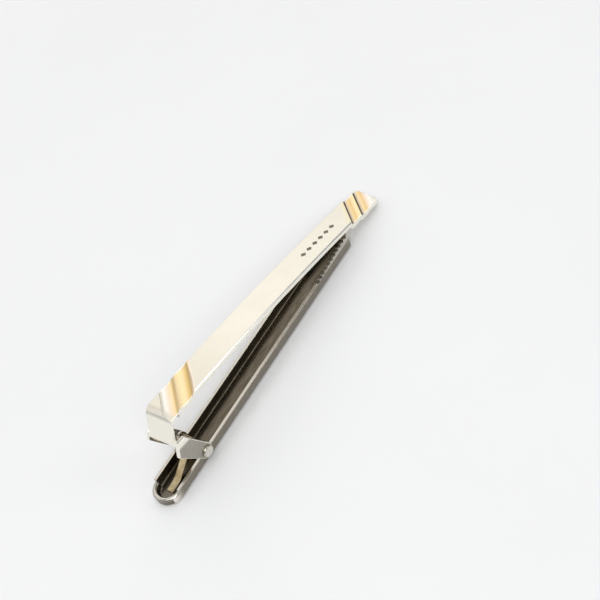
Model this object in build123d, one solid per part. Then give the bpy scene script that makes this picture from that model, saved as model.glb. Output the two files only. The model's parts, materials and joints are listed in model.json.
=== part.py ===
from build123d import *
from math import asin, atan2, cos, degrees, hypot, pi, radians, sin, tan
import os

# A sprung tie bar: a fluted front bar bent down into a leg with two hinge ears, and a
# long channel-shaped lever that swings on a riveted pin and closes on the bar's underside.
# Millimetres and degrees. Each piece is made with the pivot over the origin and the lever
# flat on z = 0, its thumb end towards -X, and is then moved along X so that the shut
# clasp is centred on the origin.

# Front bar
bar_length = 57.0
bar_width = 5.0
bar_thickness = 0.8
bar_bow = 0.85
bar_bevel = 0.18
tip_skew = 13.5

# Leg, one piece with the bar
leg_height = 5.3
leg_width = 4.6
leg_thickness = 0.5
leg_lean = 8.0
bend_radius = 1.4
inner_bend_radius = 0.6

# Hinge ears, bent back from the foot of the leg
ear_thickness = 0.6
ear_root_height = 0.85
ear_root_depth = 1.7
left_ear_drop = 1.0
right_ear_drop = 2.2
ear_corner_radius = 0.45
ear_boss_radius = 1.3
ear_bend_radius = 0.28

# Pivot, measured in the bar's own frame from the hinge end of its top face
pivot_setback = 4.2
pivot_drop = 10.7

# Lever
lever_width = 4.9
lever_wall = 0.45
lever_height = 2.2
lever_edge_radius = 0.7
lever_inner_radius = 0.35
thumb_reach = 9.65
thumb_rim_height = 1.75
thumb_rim_width = 0.8
thumb_rim_round = 0.36
jaw_flute_gap = 0.3
jaw_height = 3.4
jaw_ramp = 11.5
jaw_lip_rise = 0.35
lug_radius = 1.3
lug_foot = 1.7
pivot_height = 2.8

# Teeth on the jaw's walls and lip
tooth_pitch = 0.9
tooth_depth = 0.45
tooth_count = 11
lip_tooth_count = 4

# Hinge pin
pin_radius = 0.6
pin_head_radius = 1.05
pin_head_height = 0.4

# Hinge spring, a bent strip with two arms side by side
spring_thickness = 0.25
spring_arm_width = 1.2
spring_arm_gap = 0.2
spring_offset = -0.1
spring_coil_gap = 0.15
spring_seat_gap = 0.03
tongue_foot_reach = 5.35
tongue_foot_length = 2.0
tongue_foot_bend = 3.0
hook_bend = 0.4
hook_overhang = 0.2
yoke_start = -110.0
yoke_end = 40.0

# Flutes: sloping scoops pressed through both ends of the bar. Each is given by its depth
# on the side of the bar's middle, at its deepest, and on the side of the bar's end.
flute_count = 2
flute_angle = 46.0
far_flute_start = 5.95
far_flute_pitch = 2.95
far_flute_depths = (0.45, 0.62, 0.3)
far_flute_sink = 0.1
far_flute_tilt = 0.01
far_groove_width = 0.3
far_groove_depth = 0.08
near_flute_start = 8.1
near_flute_pitch = 3.5
near_flute_depths = (0.0, 0.32, 0.02)
near_flute_tilt = 0.065
press_shift = 0.35

# Engraved row of lozenges
lozenge_count = 6
lozenge_pitch = 1.65
lozenge_length = 1.2
lozenge_width = 0.9
lozenge_depth = 0.12
lozenge_row_start = 10.9

# Running clearances
pin_clearance = 0.04
side_clearance = 0.08
jaw_gap = 0.05

# Worked out
blank_length = bar_length + bar_width / 2 * tan(radians(tip_skew))
flutes_begin = bar_length - far_flute_start - bar_width / 2 / tan(radians(flute_angle))
jaw_reach = flutes_begin - press_shift / sin(radians(flute_angle)) - jaw_flute_gap - pivot_setback
lip_top = jaw_height + jaw_lip_rise
ear_inner = lever_width / 2 + side_clearance
ear_outer = ear_inner + ear_thickness
coil_radius = pin_radius + spring_coil_gap + spring_thickness / 2


def bow_height(x):
    """Height of the bar's top face over the line between its two ends."""
    s = 2 * x / blank_length - 1
    return bar_bow * (1 - s * s)


def bow_slope(x):
    """Slope of the bar's top face."""
    return 4 * bar_bow / blank_length * (1 - 2 * x / blank_length)


def shut_angle():
    """Angle between bar and lever at which the jaw's lip meets the bar's underside."""
    lip_over_pivot = lip_top - pivot_height
    angle = 0.0
    for _ in range(20):
        contact = pivot_setback + jaw_reach * cos(angle) - lip_over_pivot * sin(angle)
        rise = pivot_drop - bar_thickness - jaw_gap + bow_height(contact)
        angle = asin(rise / hypot(jaw_reach, lip_over_pivot)) - atan2(lip_over_pivot, jaw_reach)
    return angle


closing = shut_angle()
front_place = (
    Location((0, 0, pivot_height))
    * Rotation(0, degrees(closing), 0)
    * Location((-pivot_setback, 0, pivot_drop))
)


def plate(profile, y_low, y_high):
    """Extrude an X-Z profile between two Y planes."""
    start = Plane.XZ.offset(-y_high)
    return extrude(start * profile, amount=y_high - y_low)


def polygon(*points):
    """A closed face through X-Z points, in their own order."""
    return make_face(Polyline(*points, close=True))


def leg_face_x(z):
    """X of the leg's outer face at a height z under the bar's top face."""
    return z * tan(radians(leg_lean))


def bar_profile():
    """Side view of the bowed bar with the leg bent down at its hinge end."""
    wall = leg_thickness / cos(radians(leg_lean))
    inner_x = wall + leg_face_x(-bar_thickness)
    foot_x = leg_face_x(-leg_height)
    foot_inner = (foot_x + wall, -leg_height)
    under_end = (blank_length, -bar_thickness)
    top = ThreePointArc((blank_length, 0), (blank_length / 2, bar_bow), (0, 0))
    under_middle = ((blank_length + inner_x) / 2, bar_bow - bar_thickness)
    under = ThreePointArc((inner_x, -bar_thickness), under_middle, under_end)
    leg = Polyline((0, 0), (foot_x, -leg_height), foot_inner, (inner_x, -bar_thickness))
    tip = Line(under_end, (blank_length, 0))
    face = make_face(Curve() + [top, leg, under, tip])
    face = fillet(face.vertices().sort_by_distance((0, 0))[0], bend_radius)
    inner = face.vertices().sort_by_distance((inner_x, -bar_thickness))[0]
    return fillet(inner, inner_bend_radius)


def flute_floor(run, depths, sink):
    """Side view of a row of flutes along its own slant, as curves in depth below the bar's top."""
    curves = []
    for i in range(flute_count):
        entry, deepest, leaving = [depth + i * sink for depth in depths]
        pull = (deepest - (entry + leaving) / 8) / 0.75
        start = i * run
        floor_points = [
            (start, -entry),
            (start + 0.2 * run, -pull),
            (start + 0.6 * run, -pull),
            (start + run, -leaving),
        ]
        curves.append(Bezier(*floor_points))
    return curves


def flute_row(curves, end, roof, shift_x, shift_z):
    """A closed side view between a row of flutes and a level roof."""
    edges = []
    for curve in curves:
        if edges and (edges[-1] @ 1 - curve @ 0).length > 0.001:
            edges.append(Line(edges[-1] @ 1, curve @ 0))
        edges.append(curve)
    first = edges[0] @ 0
    last = edges[-1] @ 1
    edges.append(Polyline(last, (end, last.Y), (end, roof), (first.X, roof), first))
    return Pos(shift_x, shift_z) * make_face(Curve() + edges)


def flute_plane(start_x, toward, tilt):
    """Plane across a row of flutes: its X runs over them, away from the bar's middle.

    toward is 1 for the row at the bar's tip, -1 for the row at its hinge end.
    """
    along = radians(flute_angle)
    slope = bow_slope(start_x)
    across = Vector(sin(along), -cos(along), sin(along) * slope) * toward
    lengthwise = Vector(-cos(along), -sin(along), -cos(along) * slope - tilt) * toward
    return Plane(origin=(start_x, 0, bow_height(start_x)), x_dir=across, z_dir=lengthwise)


def press_flutes(strip, start_x, toward, pitch, depths, sink, tilt, groove_width):
    """Press one row of flutes: the top face sinks and the underside swells by as much."""
    run = pitch * sin(radians(flute_angle))
    place = flute_plane(start_x, toward, tilt)
    curves = flute_floor(run, depths, sink)
    end = 3 * bar_width if toward > 0 else (flute_count + 0.01) * run
    reach = 2 * bar_width
    shift = -press_shift if toward > 0 else 0
    belly = place * flute_row(curves, end, bar_thickness / 2, shift, -bar_thickness)
    belly = extrude(belly, amount=reach, both=True)
    flat_start = bend_radius + inner_bend_radius / 2
    low = (Align.MIN, Align.CENTER, Align.CENTER)
    outline = Pos(flat_start, 0, 0) * Box(blank_length - flat_start, bar_width, leg_height, align=low)
    strip += belly & outline
    strip -= extrude(place * flute_row(curves, end, bar_thickness, 0, 0), amount=reach, both=True)
    half = groove_width / 2
    for i in range(flute_count if groove_width > 0 else 0):
        entry = depths[0] + i * sink
        lip = -(depths[2] if i else 0)
        corners = [(-half, bar_thickness), (-half, lip), (0, -entry - far_groove_depth)]
        corners += [(half, -entry), (half, bar_thickness)]
        groove = Pos(i * run, 0) * make_face(Polyline(*corners, close=True))
        strip -= extrude(place * groove, amount=reach, both=True)
    return strip


def lozenges():
    """Cutters for the engraved row of lozenges."""
    cutters = []
    for i in range(lozenge_count):
        x = bar_length - lozenge_row_start - i * lozenge_pitch
        half_x = lozenge_length / 2
        half_y = lozenge_width / 2
        shape = polygon((x - half_x, 0), (x, -half_y), (x + half_x, 0), (x, half_y))
        floor = Plane.XY.offset(bow_height(x) - lozenge_depth)
        cutters.append(extrude(floor * shape, amount=1))
    return cutters


def bar_strip():
    """The bar and its leg, with bevelled long edges and a leg a little narrower than the bar."""
    strip = plate(bar_profile(), -bar_width / 2, bar_width / 2)
    top = strip.faces().sort_by(Axis.Z)[-1]
    long_edges = [e for e in top.edges() if e.length > bar_length / 2]
    strip = chamfer(long_edges, bar_bevel)
    strip = press_flutes(
        strip, bar_length - far_flute_start, 1, far_flute_pitch,
        far_flute_depths, far_flute_sink, far_flute_tilt, far_groove_width,
    )
    strip = press_flutes(
        strip, near_flute_start, -1, near_flute_pitch, near_flute_depths, 0, near_flute_tilt, 0
    )
    beyond = Box(bar_width, 3 * bar_width, leg_height, align=(Align.MIN, Align.CENTER, Align.CENTER))
    strip -= Pos(bar_length, 0, 0) * Rotation(0, 0, -tip_skew) * beyond
    for side in (-1, 1):
        trim = Box(bend_radius * 3, bar_width, leg_height * 2, align=(Align.CENTER, Align.MIN, Align.MAX))
        trim = Pos(0, leg_width / 2, -bend_radius) * trim
        strip -= trim if side > 0 else mirror(trim, Plane.XZ)
    return strip


def ear_profile(drop):
    """Side view of an ear: from the foot of the leg, down past it and back to the pin's boss."""
    top_z = ear_root_height - leg_height
    low_z = -leg_height - drop
    corner = (leg_face_x(low_z) + ear_corner_radius, low_z + ear_corner_radius)
    top = Line((leg_face_x(top_z), top_z), (leg_face_x(-leg_height) + ear_root_depth, top_z))
    corner_edge = (Pos(*corner) * Circle(ear_corner_radius)).edge()
    boss_edge = (Pos(pivot_setback, -pivot_drop) * Circle(ear_boss_radius)).edge()
    return make_hull([top, corner_edge, boss_edge])


def ears():
    """Both ears and the band across the foot of the leg that they bend back from."""
    top_z = ear_root_height - leg_height
    wall = leg_thickness / cos(radians(leg_lean))
    band = polygon(
        (leg_face_x(top_z), top_z),
        (leg_face_x(-leg_height), -leg_height),
        (leg_face_x(-leg_height) + wall, -leg_height),
        (leg_face_x(top_z) + wall, top_z),
    )
    pair = plate(band, -ear_outer, ear_outer)
    pair += plate(ear_profile(left_ear_drop), ear_inner, ear_outer)
    pair += plate(ear_profile(right_ear_drop), -ear_outer, -ear_inner)
    sides = pair.faces().filter_by(Axis.Y).sort_by(Axis.Y)
    rims = sides[0].edges() + sides[-1].edges()
    return fillet(rims, ear_bend_radius)


def pin_axis(radius, half_length):
    """A cylinder on the pivot, in the lever's frame."""
    return Pos(0, 0, pivot_height) * Rotation(90, 0, 0) * Cylinder(radius, 2 * half_length)


def make_front_bar():
    """The bar, leg and ears as one stamping."""
    front = bar_strip() + ears()
    for cutter in lozenges():
        front -= cutter
    return front_place * front - pin_axis(pin_radius, ear_outer + 1)


def channel():
    """The long U-section of the lever, from the thumb end's centre to the jaw's lip."""
    half = lever_width / 2
    start = half - thumb_reach
    length = jaw_reach - start
    low = (Align.MIN, Align.CENTER, Align.MIN)
    body = Pos(start, 0, 0) * Box(length, lever_width, lever_height, align=low)
    body = fillet(body.edges().filter_by(Axis.X).group_by(Axis.Z)[0], lever_edge_radius)
    inside = lever_width - 2 * lever_wall
    hollow = Pos(start - 1, 0, lever_wall) * Box(length + 1 - lever_wall, inside, lever_height, align=low)
    hollow = fillet(hollow.edges().filter_by(Axis.X).group_by(Axis.Z)[0], lever_inner_radius)
    lip = Pos(jaw_reach - lever_wall, 0, lever_height / 2)
    lip *= Box(lever_wall, inside, lip_top - lever_height / 2, align=low)
    return body - hollow + lip


def jaw_wall_top(x):
    """Height of the jaw's walls, which rise in a straight ramp to the lip."""
    return jaw_height - (jaw_reach - x) * (jaw_height - lever_height) / jaw_ramp


def jaw_cheeks():
    """The ramps that raise both walls towards the lip."""
    half = lever_width / 2
    ramp = polygon(
        (jaw_reach - jaw_ramp, lever_height / 2),
        (jaw_reach, lever_height / 2),
        (jaw_reach, jaw_height),
        (jaw_reach - jaw_ramp, lever_height),
    )
    return plate(ramp, half - lever_wall, half) + plate(ramp, -half, lever_wall - half)


def thumb_end():
    """The round end of the lever: a shallow dish with a thick rounded rim."""
    half = lever_width / 2
    low = (Align.CENTER, Align.CENTER, Align.MIN)
    dish = Cylinder(half, thumb_rim_height, align=low)
    dish = fillet(dish.edges().sort_by(Axis.Z)[0], lever_edge_radius)
    well = Pos(0, 0, lever_wall) * Cylinder(half - thumb_rim_width, lever_height, align=low)
    well = fillet(well.edges().sort_by(Axis.Z)[0], lever_inner_radius)
    dish -= well
    dish = fillet(dish.edges().group_by(Axis.Z)[-1], thumb_rim_round)
    keep = Box(2 * half, 4 * half, 2 * lever_height, align=(Align.MAX, Align.CENTER, Align.CENTER))
    return Pos(half - thumb_reach, 0, 0) * (dish & keep)


def lugs():
    """The raised cheeks of the walls that carry the pin."""
    half = lever_width / 2
    foot_z = lever_height / 2
    foot = Line((-lug_foot, foot_z), (lug_foot, foot_z))
    cheek = make_hull([foot, (Pos(0, pivot_height) * Circle(lug_radius)).edge()])
    return plate(cheek, half - lever_wall, half) + plate(cheek, -half, lever_wall - half)


def jaw_teeth():
    """Cutters for the saw teeth along both walls and across the lip."""
    cutters = []
    half_pitch = tooth_pitch / 2
    notch = polygon((-half_pitch, 1), (-half_pitch, 0), (half_pitch, -tooth_depth), (half_pitch, 1))
    for i in range(tooth_count):
        x = jaw_reach - lever_wall - (i + 0.5) * tooth_pitch
        cutters.append(Pos(x, 0, jaw_wall_top(x)) * plate(notch, -lever_width, lever_width))
    lip_pitch = (lever_width - 2 * lever_wall) / lip_tooth_count
    gap = polygon((0, -jaw_lip_rise), (lip_pitch / 4, 1), (-lip_pitch / 4, 1))
    for i in range(lip_tooth_count + 1):
        y = (i - lip_tooth_count / 2) * lip_pitch
        start = Plane(origin=(jaw_reach - 1, y, lip_top), x_dir=(0, 1, 0), z_dir=(1, 0, 0))
        cutters.append(extrude(start * gap, amount=2))
    return cutters


def make_clasp_lever():
    """The lever: thumb end, channel, pin lugs and toothed jaw."""
    lever = channel() + thumb_end() + lugs() + jaw_cheeks()
    for cutter in jaw_teeth():
        lever -= cutter
    lever -= pin_axis(pin_radius + pin_clearance, lever_width)
    return lever


def make_hinge_pin():
    """The riveted pin, with a domed head outside each ear."""
    pin = pin_axis(pin_radius, ear_outer)
    head = Cylinder(pin_head_radius, pin_head_height, align=(Align.CENTER, Align.CENTER, Align.MIN))
    head = fillet(head.edges().sort_by(Axis.Z)[-1], pin_head_height * 0.8)
    for turn in (-90, 90):
        side = 1 if turn < 0 else -1
        pin += Pos(0, side * ear_outer, pivot_height) * Rotation(turn, 0, 0) * head
    return pin


def tangent_angle(point, arriving):
    """Heading of the tangent between a point and the spring's coil, which turns clockwise."""
    away = Vector(*point) - Vector(0, pivot_height)
    bearing = atan2(away.Y, away.X)
    swing = asin(coil_radius / away.length)
    return bearing - (pi - swing) if arriving else bearing - swing


def coil_point(heading):
    """Point of the coil's centre line where the strip runs in the given heading."""
    return (-coil_radius * sin(heading), pivot_height + coil_radius * cos(heading))


def beside_pivot(x, z):
    """A point of the bar's frame, seen in the lever's X-Z plane when the clasp is shut."""
    along = x - pivot_setback
    lift = z + pivot_drop
    swung_x = along * cos(closing) + lift * sin(closing)
    swung_z = lift * cos(closing) - along * sin(closing)
    return (swung_x, pivot_height + swung_z)


def make_hinge_spring():
    """A strip spring looped round the pin: a tongue pushes the lever's thumb end down and a
    hook beside it pushes the foot of the leg up, so that the jaw closes."""
    centre = (0, pivot_height)
    floor_z = lever_wall + spring_thickness / 2 + spring_seat_gap
    foot = (-tongue_foot_reach, floor_z)
    toe = (-tongue_foot_reach - tongue_foot_length, floor_z)
    tongue_heading = tangent_angle(foot, True)
    hook_z = -leg_height - spring_seat_gap - spring_thickness / 2
    hook_x = leg_face_x(-leg_height)
    elbow = beside_pivot(hook_x + leg_thickness + hook_overhang, hook_z)
    hook_end = beside_pivot(hook_x, hook_z)
    hook_heading = tangent_angle(elbow, False)
    hook_start = degrees(hook_heading) + 90 - 360
    tongue_start = degrees(tongue_heading) + 90 + 360
    hook_coil = CenterArc(centre, coil_radius, hook_start, yoke_end - hook_start)
    yoke_coil = CenterArc(centre, coil_radius, yoke_start, yoke_end - yoke_start)
    tongue_coil = CenterArc(centre, coil_radius, yoke_start, tongue_start - yoke_start)
    hook = FilletPolyline(coil_point(hook_heading), elbow, hook_end, radius=hook_bend)
    tongue = FilletPolyline(toe, foot, coil_point(tongue_heading), radius=tongue_foot_bend)
    hook_side = trace(hook_coil, spring_thickness) + trace(hook, spring_thickness)
    tongue_side = trace(tongue_coil, spring_thickness) + trace(tongue, spring_thickness)
    tongue_low = spring_offset - spring_arm_width / 2
    tongue_high = spring_offset + spring_arm_width / 2
    hook_low = tongue_high + spring_arm_gap
    hook_high = hook_low + spring_arm_width
    strip = plate(tongue_side, tongue_low, tongue_high) + plate(hook_side, hook_low, hook_high)
    strip += plate(trace(yoke_coil, spring_thickness), tongue_low, hook_high)
    return strip


front_bar = make_front_bar()
pivot_x = (thumb_reach - front_bar.bounding_box().max.X) / 2
row_place = Pos(pivot_x, 0, 0)

os.makedirs("parts", exist_ok=True)
export_step(row_place * front_bar, "parts/front_bar.step")
export_step(row_place * make_clasp_lever(), "parts/clasp_lever.step")
export_step(row_place * make_hinge_pin(), "parts/hinge_pin.step")
export_step(row_place * make_hinge_spring(), "parts/hinge_spring.step")
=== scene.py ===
import json
import math

import bmesh
import bpy
from mathutils import Matrix, Vector


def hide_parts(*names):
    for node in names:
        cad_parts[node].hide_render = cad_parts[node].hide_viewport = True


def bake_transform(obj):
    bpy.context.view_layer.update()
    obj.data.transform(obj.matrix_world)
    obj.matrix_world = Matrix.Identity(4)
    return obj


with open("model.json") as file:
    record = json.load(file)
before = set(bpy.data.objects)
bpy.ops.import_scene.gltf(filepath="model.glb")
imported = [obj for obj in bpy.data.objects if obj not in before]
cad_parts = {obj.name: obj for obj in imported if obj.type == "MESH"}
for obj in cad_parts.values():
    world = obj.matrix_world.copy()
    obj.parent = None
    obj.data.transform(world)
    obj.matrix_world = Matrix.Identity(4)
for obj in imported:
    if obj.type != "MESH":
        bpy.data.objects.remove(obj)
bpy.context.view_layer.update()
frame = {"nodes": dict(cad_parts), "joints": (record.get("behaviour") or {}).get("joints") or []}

# Sizes are in millimetres unless they are multiplied by MM, which makes them metres.
MM = 0.001

# The front bar's own frame: X along the bar from its hinge end, Y across, Z up from the line
# between the two ends of its top face.
BAR_PITCH = 12.5
PIVOT_SETBACK = 4.2
PIVOT_DROP = 10.7
BLANK_LENGTH = 57.6
MID_BAR = 28.5
BAR_BOW = 0.85
BAR_HALF_WIDTH = 2.5
BAR_BEVEL = 0.18
LEG_HEIGHT = 5.3
LEG_LEAN = 8.0
LEG_THICKNESS = 0.5

# The two rows of flutes: where the first starts and the pitch along the bar, and the run across
# one flute
FLUTE_ANGLE = 46.0
FLUTE_SLANT = math.radians(FLUTE_ANGLE)
FAR_FLUTE_START = 51.05
FAR_RUN = 2.95 * math.sin(FLUTE_SLANT)
NEAR_FLUTE_START = 8.1
NEAR_RUN = 3.5 * math.sin(FLUTE_SLANT)
GROOVE_WIDTH = 0.3

# The engraved row of lozenges: its two ends along the bar, and its depth under the top face
LOZENGE_ROW = (37.0, 46.8)
LOZENGE_HALF_WIDTH = 0.5
ENGRAVED_DEPTH = (0.04, 0.3)

# The clasp lever
LEVER_HALF_WIDTH = 2.45
LEVER_WALL = 0.45
LEVER_HEIGHT = 2.2
THUMB_REACH = 9.65

# The hinge spring, a strip with two arms side by side
SPRING_THICKNESS = 0.25
SPRING_EDGE = 0.05
COIL_RADIUS = 0.875
TONGUE_LANE = (-0.7, 0.5)
HOOK_LANE = (0.7, 1.9)
YOKE_SPAN = (-110, 40)
YOKE_INSET = 3
SEAT_GAP = 0.03
TONGUE_REACH = 5.35
TONGUE_FOOT = 2.0
TONGUE_BEND = 3.0
HOOK_BEND = 0.4
HOOK_OVERHANG = 0.2

PIVOT = Vector(frame["joints"][0]["pos_m"])
PITCH = math.radians(BAR_PITCH)
AXIS_X = Vector((1, 0, 0))
AXIS_Y = Vector((0, 1, 0))
AXIS_Z = Vector((0, 0, 1))
BAR_X = Vector((math.cos(PITCH), 0, -math.sin(PITCH)))
BAR_Z = Vector((math.sin(PITCH), 0, math.cos(PITCH)))
BAR_ORIGIN = PIVOT - BAR_X * PIVOT_SETBACK * MM + BAR_Z * PIVOT_DROP * MM

# The view, as angles about the vertical: where the camera looks, how far down, and its tilt
VIEW_AZIMUTH = 49.68
VIEW_ELEVATION = 49.25
VIEW_ROLL = -23.73
VIEW_DISTANCE = 183.1 * MM
VIEW_AIM = Vector((5.46, -7.49, 5.13)) * MM
LENS_MM = 70.6
FRAME_SHIFT = (-0.035, 0.014)

# Colours
SILVER = (0.86, 0.815, 0.71)
SILVER_DULL = (0.75, 0.705, 0.60)
# Painted highlight for the leg and the sides, which face away from the top
SILVER_SIDE_HIGHLIGHT = (0.93, 0.90, 0.80)
# Pale silver for real wear and scratches, and also for painted highlights on the bevels and where the
# gilt ends
SILVER_WORN_AND_HIGHLIGHT = (0.97, 0.95, 0.90)
# Painted dark reflection on the flats of the ears
SILVER_DARK_REFLECTION = (0.20, 0.18, 0.15)
# Painted shade in the grooves across the far end
GROOVE_SHADE_BROWN = (0.030, 0.018, 0.006)
GROOVE_SHADE_OLIVE = (0.13, 0.105, 0.045)
# Painted shade in the engraved lozenges
ENGRAVED_SHADE = (0.10, 0.075, 0.045)
# The gold tones are the gilt's own colour with painted light in them: the deep, pale, cream and pink
# tones are shaded and lit copies of the gilt, laid in bands across each flute.
GOLD_FAINT = (0.87, 0.80, 0.56)
GOLD_SHADED = (0.66, 0.45, 0.15)
GOLD = (0.80, 0.57, 0.23)
GOLD_LIT = (0.93, 0.80, 0.45)
GOLD_CREAM = (0.95, 0.74, 0.42)
GOLD_PINK = (0.90, 0.72, 0.55)
# Painted dark reflection along the lever's walls, and painted highlight at its thumb end and on its
# walls' tops
NICKEL_DARK_REFLECTION = ((0.22, 0.195, 0.155), (0.32, 0.295, 0.25))
NICKEL_HIGHLIGHT = ((0.86, 0.80, 0.70), (0.95, 0.91, 0.83))
# Painted shade inside the lever's channel
NICKEL_CHANNEL_SHADE = ((0.055, 0.042, 0.030), (0.17, 0.145, 0.105))
NICKEL_EDGE = (0.93, 0.91, 0.87)
PIN_FACE = ((0.64, 0.61, 0.55), (0.80, 0.78, 0.73))
PIN_RIM = (0.52, 0.48, 0.40)
PIN_EDGE = (0.92, 0.90, 0.86)
BRONZE = ((0.42, 0.32, 0.17), (0.60, 0.50, 0.32))
BRONZE_DARK = (0.30, 0.22, 0.11)
BRONZE_EDGE = (0.80, 0.70, 0.50)
FLOOR_GREY = ((0.88, 0.88, 0.875), (0.92, 0.92, 0.92))
SKY = (0.80, 0.82, 0.86, 1)
WARM = (1.0, 0.975, 0.93)
WARM_FAINT = (1.0, 0.985, 0.96)


# ---------------------------------------------------------------- shader helpers


class Surface:
    """A node material under construction. A value is a number, a colour or an output socket,
    and every method but link and finish returns an output socket."""

    def __init__(self, name):
        self.material = bpy.data.materials.new(name)
        self.material.use_nodes = True
        self.tree = self.material.node_tree
        self.shader = self.tree.nodes["Principled BSDF"]

    def link(self, value, socket):
        if isinstance(value, bpy.types.NodeSocket):
            self.tree.links.new(value, socket)
        else:
            socket.default_value = value

    def node(self, kind, output=0, inputs=None, **settings):
        made = self.tree.nodes.new(kind)
        for key, value in settings.items():
            setattr(made, key, value)
        for key, value in (inputs or {}).items():
            self.link(value, made.inputs[key])
        return made.outputs[output]

    def math(self, operation, *values, clamp=False):
        inputs = dict(enumerate(values))
        return self.node("ShaderNodeMath", operation=operation, use_clamp=clamp, inputs=inputs)

    def times(self, first, second):
        return self.math("MULTIPLY", first, second)

    def plus(self, first, second, clamp=False):
        return self.math("ADD", first, second, clamp=clamp)

    def minus(self, first, second):
        return self.math("SUBTRACT", first, second)

    def larger(self, first, second):
        return self.math("MAXIMUM", first, second)

    def size(self, value):
        return self.math("ABSOLUTE", value)

    def dot(self, vector, axis):
        inputs = {0: vector, 1: tuple(axis)}
        return self.node("ShaderNodeVectorMath", "Value", inputs, operation="DOT_PRODUCT")

    def face_normal(self):
        return self.node("ShaderNodeNewGeometry", "True Normal")

    def place(self, origin, axes):
        """Object coordinates from an origin, in millimetres, along three axes."""
        here = self.node("ShaderNodeTexCoord", "Object")
        inputs = {0: here, 1: tuple(origin)}
        here = self.node("ShaderNodeVectorMath", 0, inputs, operation="SUBTRACT")
        return [self.times(self.dot(here, axis), 1 / MM) for axis in axes]

    def vector(self, x, y, z):
        return self.node("ShaderNodeCombineXYZ", 0, {0: x, 1: y, 2: z})

    def stretch(self, vector, factors):
        inputs = {0: vector, 1: factors}
        return self.node("ShaderNodeVectorMath", 0, inputs, operation="MULTIPLY")

    def noise(self, vector, scale, detail=3.0, distortion=0.0):
        inputs = {"Vector": vector, "Scale": scale, "Detail": detail}
        inputs.update({"Roughness": 0.55, "Distortion": distortion})
        return self.node("ShaderNodeTexNoise", "Fac", inputs)

    def colours_across(self, distance, stops):
        """A colour that changes along a distance, from stops of a distance and a colour."""
        low = stops[0][0]
        high = stops[-1][0]
        made = self.tree.nodes.new("ShaderNodeValToRGB")
        points = made.color_ramp.elements
        while len(points) < len(stops):
            points.new(0.5)
        for point, (at, colour) in zip(points, stops):
            point.position = (at - low) / (high - low)
            point.color = (*colour, 1)
        self.link(self.span(distance, low, high, smooth=False), made.inputs[0])
        return made.outputs["Color"]

    def span(self, value, low, high, smooth=True):
        """0 at low, 1 at high, clamped."""
        kind = "SMOOTHSTEP" if smooth else "LINEAR"
        inputs = {"Value": value, "From Min": low, "From Max": high}
        return self.node("ShaderNodeMapRange", 0, inputs, interpolation_type=kind)

    def band(self, value, low, high, soft):
        """1 between low and high, with soft ends."""
        rise = self.span(value, low - soft, low + soft)
        fall = self.span(value, high + soft, high - soft)
        return self.times(rise, fall)

    def mix(self, factor, first, second):
        made = self.tree.nodes.new("ShaderNodeMix")
        made.data_type = "RGBA"
        for key, value in (("Factor_Float", factor), ("A_Color", first), ("B_Color", second)):
            socket = next(s for s in made.inputs if s.identifier == key)
            self.link((*value, 1) if isinstance(value, tuple) else value, socket)
        return next(s for s in made.outputs if s.identifier == "Result_Color")

    def tint(self, mask, strength, colour, over):
        """A colour laid over another where a mask says, at a strength."""
        return self.mix(self.times(mask, strength), over, colour)

    def edges(self, radius):
        """1 on sharp outer edges and inner corners, 0 on the flats, and the rounded normal."""
        soft = self.node("ShaderNodeBevel", "Normal", {"Radius": radius * MM}, samples=6)
        hard = self.node("ShaderNodeNewGeometry", "Normal")
        inputs = {0: soft, 1: hard}
        same = self.node("ShaderNodeVectorMath", "Value", inputs, operation="DOT_PRODUCT")
        return self.span(same, 0.995, 0.86), soft

    def worn_edges(self, edge, here, scale, low):
        """The edges where handling has rubbed them, in patches."""
        return self.times(edge, self.span(self.noise(here, scale), low, low + 0.3))

    def bump(self, height, strength, distance, normal):
        inputs = {"Height": height, "Strength": strength, "Distance": distance * MM}
        inputs["Normal"] = normal
        return self.node("ShaderNodeBump", "Normal", inputs)

    def scratches(self, place, angle, density, length=0.35, width=26.0):
        """Fine hairlines that run at an angle in the X-Y plane, as a mask."""
        x, y, z = place
        turn = math.radians(angle)
        along = self.plus(self.times(x, math.cos(turn)), self.times(y, math.sin(turn)))
        across = self.minus(self.times(y, math.cos(turn)), self.times(x, math.sin(turn)))
        where = self.vector(self.times(along, length), self.times(across, width), z)
        lines = self.noise(where, 1.0, detail=2.0, distortion=0.15)
        return self.span(lines, 1 - density, 1 - density + 0.05)

    def finish(self, colour, metallic, roughness, normal):
        """Connects the shader and returns the material."""
        self.link(colour, self.shader.inputs["Base Color"])
        self.link(metallic, self.shader.inputs["Metallic"])
        self.link(roughness, self.shader.inputs["Roughness"])
        self.link(normal, self.shader.inputs["Normal"])
        return self.material


# ---------------------------------------------------------------- front bar


def across_flutes(s, x, y, start, toward):
    """How far a point lies past the edge where a row of flutes starts, square to the flutes."""
    run = s.times(s.minus(x, start), math.sin(FLUTE_SLANT) * toward)
    return s.minus(run, s.times(y, math.cos(FLUTE_SLANT) * toward))


def far_gilt_with_painted_light(s, far):
    """Gold over the far flutes, fading to silver at the tip, with painted highlights and painted
    shade in bands across each flute and a painted highlight where the gilt ends.
    """
    return s.colours_across(far, [
        (-1.2, SILVER),
        (-0.3, GOLD_FAINT),
        (0.15, GOLD_PINK),
        (0.55, GOLD_CREAM),
        (FAR_RUN * 0.5, GOLD),
        (FAR_RUN * 0.66, GOLD_CREAM),
        (FAR_RUN - 0.3, GOLD_LIT),
        (FAR_RUN + 0.15, GOLD_PINK),
        (FAR_RUN + 0.75, GOLD_CREAM),
        (FAR_RUN + 1.15, GOLD),
        (FAR_RUN + 1.6, GOLD_PINK),
        (FAR_RUN * 2 + 0.1, SILVER_WORN_AND_HIGHLIGHT),
        (FAR_RUN * 2 + 0.6, SILVER),
    ])


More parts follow.
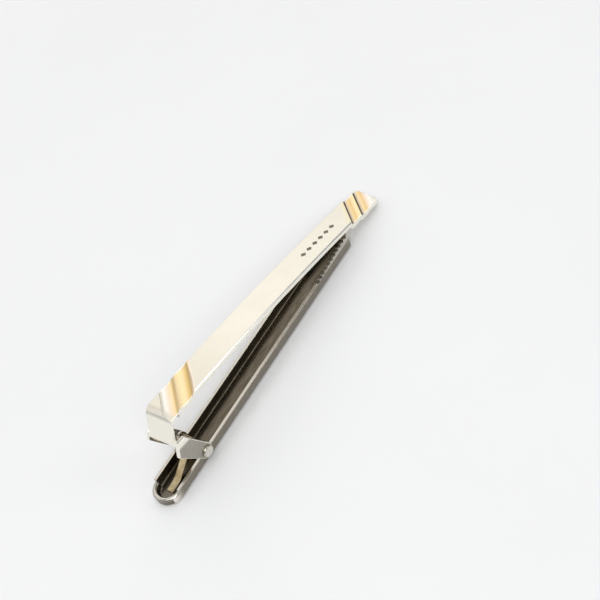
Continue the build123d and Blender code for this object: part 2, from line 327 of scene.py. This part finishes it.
def near_gilt_with_painted_light(s, near):
    """Gold over the near flutes, deepest beside the bar's plain middle, where painted shade lies; the
    bands across each flute are painted highlights and painted shade, and the gilt ends in a painted
    highlight.
    """
    return s.colours_across(near, [
        (-0.3, SILVER),
        (0.05, GOLD_PINK),
        (0.4, GOLD_SHADED),
        (0.9, GOLD),
        (1.3, GOLD_CREAM),
        (NEAR_RUN - 0.7, GOLD_LIT),
        (NEAR_RUN - 0.1, GOLD_CREAM),
        (NEAR_RUN + 0.35, GOLD),
        (NEAR_RUN + 0.8, GOLD_CREAM),
        (NEAR_RUN + 1.3, GOLD_PINK),
        (NEAR_RUN + 2.0, SILVER_WORN_AND_HIGHLIGHT),
        (NEAR_RUN * 2 - 0.2, SILVER),
    ])


def gilded_zone(s, x, far, near, on_top):
    """Where the top face is gilded: both rows of flutes, but not the bend into the leg."""
    far_zone = s.band(far, -1.15, FAR_RUN * 2 + 0.5, 0.1)
    near_zone = s.band(near, -0.2, NEAR_RUN * 2 - 0.3, 0.1)
    zone = s.times(s.larger(far_zone, near_zone), s.span(x, 0.6, 1.6))
    return s.times(on_top, zone)


def plain_silver(s, x, z, here, facing):
    """The ungilded metal: darker towards the hinge, with a painted highlight on the leg and the sides
    and a painted dark reflection on the ears.
    """
    cloud = s.noise(here, 0.35, detail=4.0)
    plain = s.tint(s.span(cloud, 0.3, 0.7), 0.3, SILVER_DULL, SILVER)
    plain = s.mix(s.span(x, 22, 4), plain, SILVER_DULL)
    # Painted highlight on faces turned away from the top: the leg, the sides and the underside
    plain = s.mix(s.span(facing, 0.8, 0.45), plain, SILVER_SIDE_HIGHLIGHT)
    # Painted dark reflection on the flat faces of the ears below the leg
    sideways = s.size(s.dot(s.face_normal(), AXIS_Y))
    below_leg = s.span(z, 0.1 - LEG_HEIGHT, -0.6 - LEG_HEIGHT)
    ear_dark_reflection = s.times(s.span(sideways, 0.8, 0.97), below_leg)
    return s.tint(ear_dark_reflection, 0.8, SILVER_DARK_REFLECTION, plain)


def bevel_highlights(s, y, on_top):
    """A painted highlight on the bevels along both long edges."""
    inner_edge = BAR_HALF_WIDTH - BAR_BEVEL
    return s.times(s.span(s.size(y), inner_edge - 0.03, inner_edge + 0.03), on_top)


def groove_shade_lines(s, y, far, facing):
    """Painted shade in the two grooves across the far end, on the top face and in the grooves."""
    half = GROOVE_WIDTH / 2
    first = s.band(far, -half, half, 0.03)
    second = s.band(far, FAR_RUN - half, FAR_RUN + half, 0.03)
    between_sides = s.band(y, -2.3, 2.3, 0.05)
    shown = s.larger(s.span(facing, 0.3, 0.5), between_sides)
    line = s.times(s.larger(first, second), shown)
    return s.times(line, s.span(facing, -0.2, 0.0))


def engraving(s, x, y, z):
    """Where painted shade goes: the floor and walls of the engraved lozenges, under the bar's bowed
    top face.
    """
    share = s.minus(s.times(x, 2 / BLANK_LENGTH), 1)
    top = s.times(s.minus(1, s.times(share, share)), BAR_BOW)
    row = s.band(x, *LOZENGE_ROW, 0.05)
    row = s.times(row, s.band(y, -LOZENGE_HALF_WIDTH, LOZENGE_HALF_WIDTH, 0.03))
    return s.times(row, s.band(s.minus(top, z), *ENGRAVED_DEPTH, 0.02))


def satin_silver():
    """Satin silver with gilt flutes that hold painted light and shade, painted shade in the groove
    lines and the engraving, and bright edges that are partly wear and partly a painted highlight.
    """
    s = Surface("satin_silver")
    x, y, z = s.place(BAR_ORIGIN, (BAR_X, AXIS_Y, BAR_Z))
    here = s.vector(x, y, z)
    far = across_flutes(s, x, y, FAR_FLUTE_START, 1)
    near = across_flutes(s, x, y, NEAR_FLUTE_START, -1)
    facing = s.dot(s.face_normal(), BAR_Z)
    on_top = s.span(facing, 0.35, 0.6)

    # Real gilt, with painted highlights and painted shade in bands across the flutes
    far_half = s.span(x, MID_BAR - 0.5, MID_BAR + 0.5)
    gilt = s.mix(far_half, near_gilt_with_painted_light(s, near), far_gilt_with_painted_light(s, far))
    plain = plain_silver(s, x, z, here, facing)
    colour = s.mix(gilded_zone(s, x, far, near, on_top), plain, gilt)
    bevel_highlight = bevel_highlights(s, y, on_top)
    # Painted highlight on the bevels
    colour = s.tint(bevel_highlight, 0.8, SILVER_WORN_AND_HIGHLIGHT, colour)

    edge, rounded = s.edges(0.09)
    brushed = s.vector(s.times(x, 0.5), s.times(y, 14), s.times(z, 14))
    grain = s.noise(brushed, 1.6, detail=5.0)
    pores = s.noise(here, 24, detail=2.0)
    hairs = s.scratches((x, y, z), 8, 0.33)
    hairs = s.larger(hairs, s.scratches((x, y, z), -31, 0.3))
    hairs = s.larger(hairs, s.scratches((x, y, z), 74, 0.29, 0.6, 20.0))
    colour = s.tint(s.span(grain, 0.35, 0.7), 0.12, SILVER_WORN_AND_HIGHLIGHT, colour)
    colour = s.tint(hairs, 0.25, SILVER_WORN_AND_HIGHLIGHT, colour)
    colour = s.tint(s.worn_edges(edge, here, 2.2, 0.3), 0.45, SILVER_WORN_AND_HIGHLIGHT, colour)

    line = groove_shade_lines(s, y, far, facing)
    engraved = engraving(s, x, y, z)
    # Painted shade in the engraving
    colour = s.tint(engraved, 0.75, ENGRAVED_SHADE, colour)
    # Painted shade in the grooves
    colour = s.mix(line, colour, s.mix(s.span(y, -2.4, 0.8), GROOVE_SHADE_OLIVE, GROOVE_SHADE_BROWN))

    rough = s.plus(0.34, s.times(s.minus(grain, 0.5), 0.16))
    rough = s.minus(rough, s.times(s.larger(edge, bevel_highlight), 0.12))
    rough = s.plus(rough, s.times(s.larger(line, engraved), 0.3), clamp=True)
    metallic = s.minus(1.0, s.times(line, 0.8))
    normal = s.bump(grain, 0.10, 0.02, rounded)
    normal = s.bump(pores, 0.06, 0.01, normal)
    normal = s.bump(s.times(hairs, -1), 0.25, 0.008, normal)
    return s.finish(colour, metallic, rough, normal)


# ---------------------------------------------------------------- lever and pin


def inside_channel(s, y, z):
    """The floor and inner walls of the lever's channel."""
    inner = LEVER_HALF_WIDTH - LEVER_WALL + 0.02
    inside = s.band(y, -inner, inner, 0.05)
    inside = s.times(inside, s.span(z, LEVER_HEIGHT + 0.1, LEVER_HEIGHT - 1.0))
    return s.times(inside, s.span(z, 0.1, 0.3))


def polished_nickel():
    """Polished nickel, with a painted highlight at the thumb end and along the walls' tops, a painted
    dark reflection along the walls, and painted shade inside the channel.
    """
    s = Surface("polished_nickel")
    x, y, z = s.place((PIVOT.x, 0, 0), (AXIS_X, AXIS_Y, AXIS_Z))
    here = s.vector(x, y, z)
    edge, rounded = s.edges(0.07)
    inside = inside_channel(s, y, z)
    cloud = s.noise(here, 0.8, detail=4.0)
    drawn = s.noise(s.stretch(here, (0.3, 9.0, 9.0)), 1.3, detail=5.0)
    # Painted highlight at the thumb end and on the walls' tops, painted dark reflection on the rest
    # of the walls
    thumb_end_highlight = s.span(x, 3.35 - THUMB_REACH, 1.05 - THUMB_REACH)
    rim_highlight = s.times(s.span(z, LEVER_HEIGHT - 0.2, LEVER_HEIGHT - 0.02), 0.45)
    wall_dark_reflection = s.mix(cloud, *NICKEL_DARK_REFLECTION)
    bright = s.mix(cloud, *NICKEL_HIGHLIGHT)
    colour = s.mix(s.larger(thumb_end_highlight, rim_highlight), wall_dark_reflection, bright)
    # Painted shade inside the channel, mottled
    channel_shade = s.mix(s.span(drawn, 0.3, 0.7), *NICKEL_CHANNEL_SHADE)
    colour = s.tint(inside, 0.92, channel_shade, colour)
    colour = s.tint(s.worn_edges(edge, here, 3.0, 0.25), 0.8, NICKEL_EDGE, colour)
    hairs = s.scratches((x, y, z), 4, 0.33)
    hairs = s.larger(hairs, s.scratches((x, y, z), 52, 0.29))
    rough = s.plus(0.10, s.times(drawn, 0.09))
    rough = s.plus(rough, s.times(inside, 0.10))
    rough = s.plus(rough, s.times(hairs, 0.12), clamp=True)
    normal = s.bump(drawn, 0.06, 0.015, rounded)
    normal = s.bump(s.times(hairs, -1), 0.2, 0.006, normal)
    return s.finish(colour, 1.0, rough, normal)


def pin_nickel():
    """Bright nickel with turned rings on the riveted heads."""
    s = Surface("pin_nickel")
    x, y, z = s.place(PIVOT, (AXIS_X, AXIS_Y, AXIS_Z))
    radius = s.math("SQRT", s.plus(s.times(x, x), s.times(z, z)))
    rings = s.noise(s.vector(s.times(radius, 16), y, 0.0), 1.0)
    cloud = s.noise(s.vector(x, y, z), 2.5, detail=4.0)
    edge, rounded = s.edges(0.06)
    colour = s.mix(cloud, *PIN_FACE)
    colour = s.mix(s.span(radius, 0.7, 1.0), colour, PIN_RIM)
    colour = s.tint(edge, 0.5, PIN_EDGE, colour)
    rough = s.plus(0.14, s.times(rings, 0.16), clamp=True)
    normal = s.bump(rings, 0.18, 0.02, rounded)
    return s.finish(colour, 1.0, rough, normal)


def spring_strip():
    """Rolled bronze strip, browned unevenly, with bright sheared edges."""
    s = Surface("spring_strip")
    x, y, z = s.place(PIVOT, (AXIS_X, AXIS_Y, AXIS_Z))
    here = s.vector(x, y, z)
    edge, rounded = s.edges(0.05)
    rolled = s.noise(s.stretch(here, (1.0, 12.0, 1.0)), 1.5, detail=5.0)
    cloud = s.noise(here, 0.9, detail=5.0)
    colour = s.mix(s.span(cloud, 0.3, 0.7), *BRONZE)
    colour = s.tint(s.span(rolled, 0.45, 0.75), 0.35, BRONZE_DARK, colour)
    colour = s.tint(edge, 0.6, BRONZE_EDGE, colour)
    rough = s.plus(0.24, s.times(rolled, 0.20), clamp=True)
    normal = s.bump(rolled, 0.15, 0.015, rounded)
    return s.finish(colour, 1.0, rough, normal)


def paint(node, material):
    """Gives a carried-over CAD node its material."""
    mesh = frame["nodes"][node].data
    mesh.materials.clear()
    mesh.materials.append(material)


# ---------------------------------------------------------------- hinge spring


def on_coil(angle):
    """A point of the coil's centre line, relative to the pivot."""
    a = math.radians(angle)
    return (COIL_RADIUS * math.cos(a), COIL_RADIUS * math.sin(a))


def round_coil(start, stop, step=7.5):
    count = max(2, math.ceil(abs(stop - start) / step))
    return [on_coil(start + (stop - start) * i / count) for i in range(count + 1)]


def tangent_point(point, arriving):
    """Angle on the clockwise coil where the straight from or to a point touches it."""
    bearing = math.degrees(math.atan2(point[1], point[0]))
    swing = math.degrees(math.asin(COIL_RADIUS / math.hypot(*point)))
    return bearing - 180 + swing + 90 if arriving else bearing - swing + 90


def bent(before, corner, after, radius, steps=10):
    """The corner of a polyline, rounded to a radius."""
    corner = Vector(corner)
    back = (Vector(before) - corner).normalized()
    ahead = (Vector(after) - corner).normalized()
    half = back.angle(ahead) / 2
    centre = corner + (back + ahead).normalized() * radius / math.sin(half)
    first = corner + back * radius / math.tan(half) - centre
    last = corner + ahead * radius / math.tan(half) - centre
    points = []
    for i in range(steps + 1):
        away = first.slerp(last, i / steps).normalized()
        points.append(tuple(centre + away * radius))
    return points


def beside_pivot(x, z):
    """A point of the bar's frame, relative to the pivot, in the X-Z plane."""
    along = x - PIVOT_SETBACK
    lift = z + PIVOT_DROP
    across = along * math.cos(PITCH) + lift * math.sin(PITCH)
    return (across, lift * math.cos(PITCH) - along * math.sin(PITCH))


def sweep(b, path, lane, thickness):
    """A strip along a path in the X-Z plane, with rounded long edges and closed ends."""
    low, high = lane
    half = thickness / 2
    outline = []
    for y, n, turn in ((high, half, 0), (low, half, 90), (low, -half, 180), (high, -half, 270)):
        inner_y = y - SPRING_EDGE * (1 if y == high else -1)
        inner_n = n - SPRING_EDGE * (1 if n > 0 else -1)
        for i in range(4):
            a = math.radians(turn + 30 * i)
            outline.append((inner_y + SPRING_EDGE * math.cos(a), inner_n + SPRING_EDGE * math.sin(a)))
    rows = []
    for i, (x, z) in enumerate(path):
        before = path[max(i - 1, 0)]
        after = path[min(i + 1, len(path) - 1)]
        along = Vector((after[0] - before[0], after[1] - before[1])).normalized()
        rows.append([])
        for y, n in outline:
            place = Vector((x - along.y * n, y, z + along.x * n)) * MM
            rows[-1].append(b.verts.new(place + Vector((PIVOT.x, 0, PIVOT.z))))
    count = len(outline)
    for first, second in zip(rows, rows[1:]):
        for i in range(count):
            b.faces.new((first[i], first[(i + 1) % count], second[(i + 1) % count], second[i]))
    b.faces.new(rows[0][::-1])
    b.faces.new(rows[-1])


def tongue_path():
    """From the toe on the lever's floor up and over the pin to the yoke's end."""
    floor = LEVER_WALL + SEAT_GAP + SPRING_THICKNESS / 2 - PIVOT.z / MM
    toe = (-TONGUE_REACH - TONGUE_FOOT, floor)
    foot = (-TONGUE_REACH, floor)
    touch = tangent_point(foot, True) + 360
    rise = bent(toe, foot, on_coil(touch), TONGUE_BEND)
    return [toe] + rise + round_coil(touch, YOKE_SPAN[0])


def hook_path():
    """From the yoke round under the pin and up to the hook under the leg's foot."""
    height = -LEG_HEIGHT - SEAT_GAP - SPRING_THICKNESS / 2
    face = -LEG_HEIGHT * math.tan(math.radians(LEG_LEAN))
    elbow = beside_pivot(face + LEG_THICKNESS + HOOK_OVERHANG, height)
    tip = beside_pivot(face, height)
    touch = tangent_point(elbow, False) - 360
    turn = bent(on_coil(touch), elbow, tip, HOOK_BEND)
    return round_coil(YOKE_SPAN[1], touch) + turn + [tip]


def make_spring(material):
    """The bent strip itself: tongue and hook, joined by the yoke between them."""
    b = bmesh.new()
    sweep(b, tongue_path(), TONGUE_LANE, SPRING_THICKNESS)
    sweep(b, hook_path(), HOOK_LANE, SPRING_THICKNESS)
    yoke = (TONGUE_LANE[1] - 2 * SPRING_EDGE, HOOK_LANE[0] + 2 * SPRING_EDGE)
    bridge = round_coil(YOKE_SPAN[1] - YOKE_INSET, YOKE_SPAN[0] + YOKE_INSET)
    sweep(b, bridge, yoke, SPRING_THICKNESS * 0.96)
    bmesh.ops.recalc_face_normals(b, faces=b.faces)
    mesh = bpy.data.meshes.new("spring_strip_bent")
    b.to_mesh(mesh)
    b.free()
    mesh.shade_smooth()
    mesh.set_sharp_from_angle(angle=math.radians(35))
    mesh.materials.append(material)
    spring = bpy.data.objects.new("spring_strip_bent", mesh)
    bpy.context.scene.collection.objects.link(spring)
    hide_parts("hinge_spring")
    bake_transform(spring)


# ---------------------------------------------------------------- studio


def unit(azimuth, elevation):
    """A direction from its angle from +X towards +Y and its angle above the floor."""
    a = math.radians(azimuth)
    e = math.radians(elevation)
    return Vector((math.cos(e) * math.cos(a), math.cos(e) * math.sin(a), math.sin(e)))


def make_camera():
    forward = unit(VIEW_AZIMUTH, -VIEW_ELEVATION)
    level = forward.cross(Vector((0, 0, 1))).normalized()
    upright = level.cross(forward)
    roll = math.radians(VIEW_ROLL)
    right = level * math.cos(roll) + upright * math.sin(roll)
    up = right.cross(forward)
    turn = Matrix((right, up, -forward)).transposed().to_4x4()
    data = bpy.data.cameras.new("camera")
    data.lens = LENS_MM
    data.sensor_width = 36
    data.shift_x, data.shift_y = FRAME_SHIFT
    data.clip_start = 0.005
    camera = bpy.data.objects.new("camera", data)
    camera.matrix_world = Matrix.Translation(VIEW_AIM - forward * VIEW_DISTANCE) @ turn
    bpy.context.scene.collection.objects.link(camera)
    bpy.context.scene.camera = camera


def softbox(name, azimuth, elevation, distance, width, height, power, colour=(1, 1, 1)):
    """A rectangular area light that faces the object."""
    data = bpy.data.lights.new(name, "AREA")
    data.shape = "RECTANGLE"
    data.size = width
    data.size_y = height
    data.energy = power
    data.color = colour
    lamp = bpy.data.objects.new(name, data)
    away = unit(azimuth, elevation)
    turn = away.to_track_quat("Z", "Y").to_matrix().to_4x4()
    lamp.matrix_world = Matrix.Translation(away * distance) @ turn
    bpy.context.scene.collection.objects.link(lamp)


def make_studio():
    softbox("key", 40, 38, 0.6, 0.6, 0.55, 0.92, WARM)
    softbox("back", 118, 38, 0.7, 0.75, 0.6, 1.0, WARM_FAINT)
    softbox("overhead", 215, 74, 0.7, 0.6, 0.6, 1.7)
    softbox("front", 232, 46, 0.7, 0.4, 0.3, 1.0)
    softbox("side", 300, 28, 0.7, 0.25, 0.35, 0.5)
    world = bpy.data.worlds.new("studio")
    world.use_nodes = True
    background = world.node_tree.nodes["Background"]
    background.inputs["Color"].default_value = SKY
    background.inputs["Strength"].default_value = 0.42
    bpy.context.scene.world = world
    bpy.context.scene.view_settings.view_transform = "Standard"


def make_floor():
    """A pale, faintly mottled table top."""
    mesh = bpy.data.meshes.new("floor")
    b = bmesh.new()
    bmesh.ops.create_grid(b, x_segments=8, y_segments=8, size=1.5)
    b.to_mesh(mesh)
    b.free()
    floor = bpy.data.objects.new("floor", mesh)
    bpy.context.scene.collection.objects.link(floor)
    s = Surface("floor")
    here = s.vector(*s.place((0, 0, 0), (AXIS_X, AXIS_Y, AXIS_Z)))
    colour = s.mix(s.noise(here, 0.02), *FLOOR_GREY)
    soft = s.node("ShaderNodeNewGeometry", "Normal")
    normal = s.bump(s.noise(here, 3.0), 0.05, 0.02, soft)
    mesh.materials.append(s.finish(colour, 0.0, 0.7, normal))


paint("front_bar", satin_silver())
paint("clasp_lever", polished_nickel())
paint("hinge_pin", pin_nickel())
make_spring(spring_strip())
make_camera()
make_studio()
make_floor()
